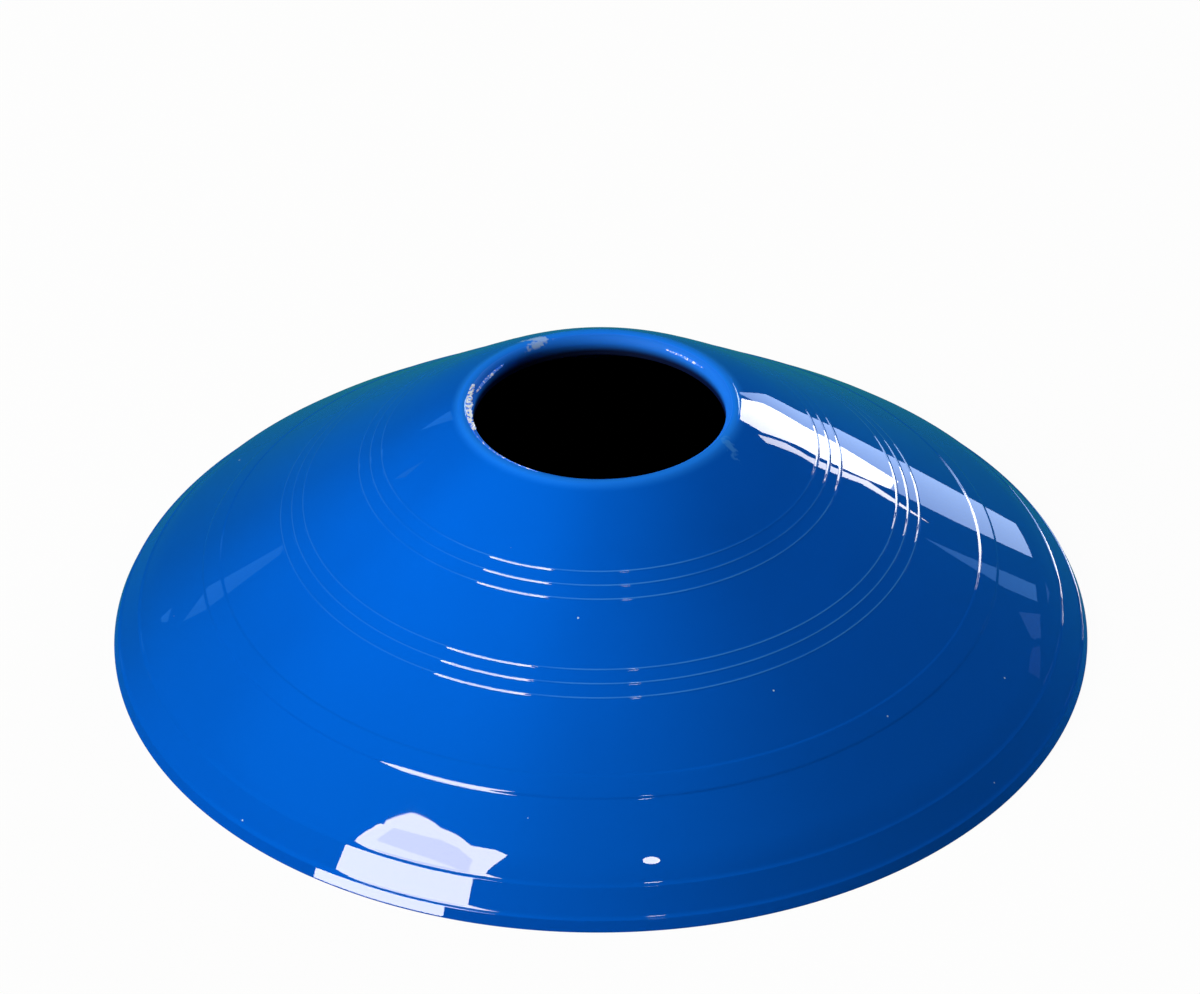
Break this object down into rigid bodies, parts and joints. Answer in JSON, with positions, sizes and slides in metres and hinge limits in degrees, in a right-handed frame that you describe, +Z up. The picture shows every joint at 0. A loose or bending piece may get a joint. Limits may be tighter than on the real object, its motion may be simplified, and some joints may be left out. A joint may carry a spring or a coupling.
{
  "type": "sports marker cone",
  "caption": "Low round marker cone for sports training: a thin glossy plastic shell with a sloping flank, fine raised rings, a stepped rim and a round hole through the crown.",
  "frame": {"origin": "on the ground at the centre of the rim", "axes": "+Z up along the cone's axis, from the ground to the crown; +X and +Y are alike because the cone is round"},
  "size_m": [0.19, 0.19, 0.0494],
  "materials": {
    "blue_plastic": "glossy self-coloured polyethylene"
  },
  "bodies": {
    "root": {"cone_shell": "blue_plastic"}
  },
  "joints": []
}
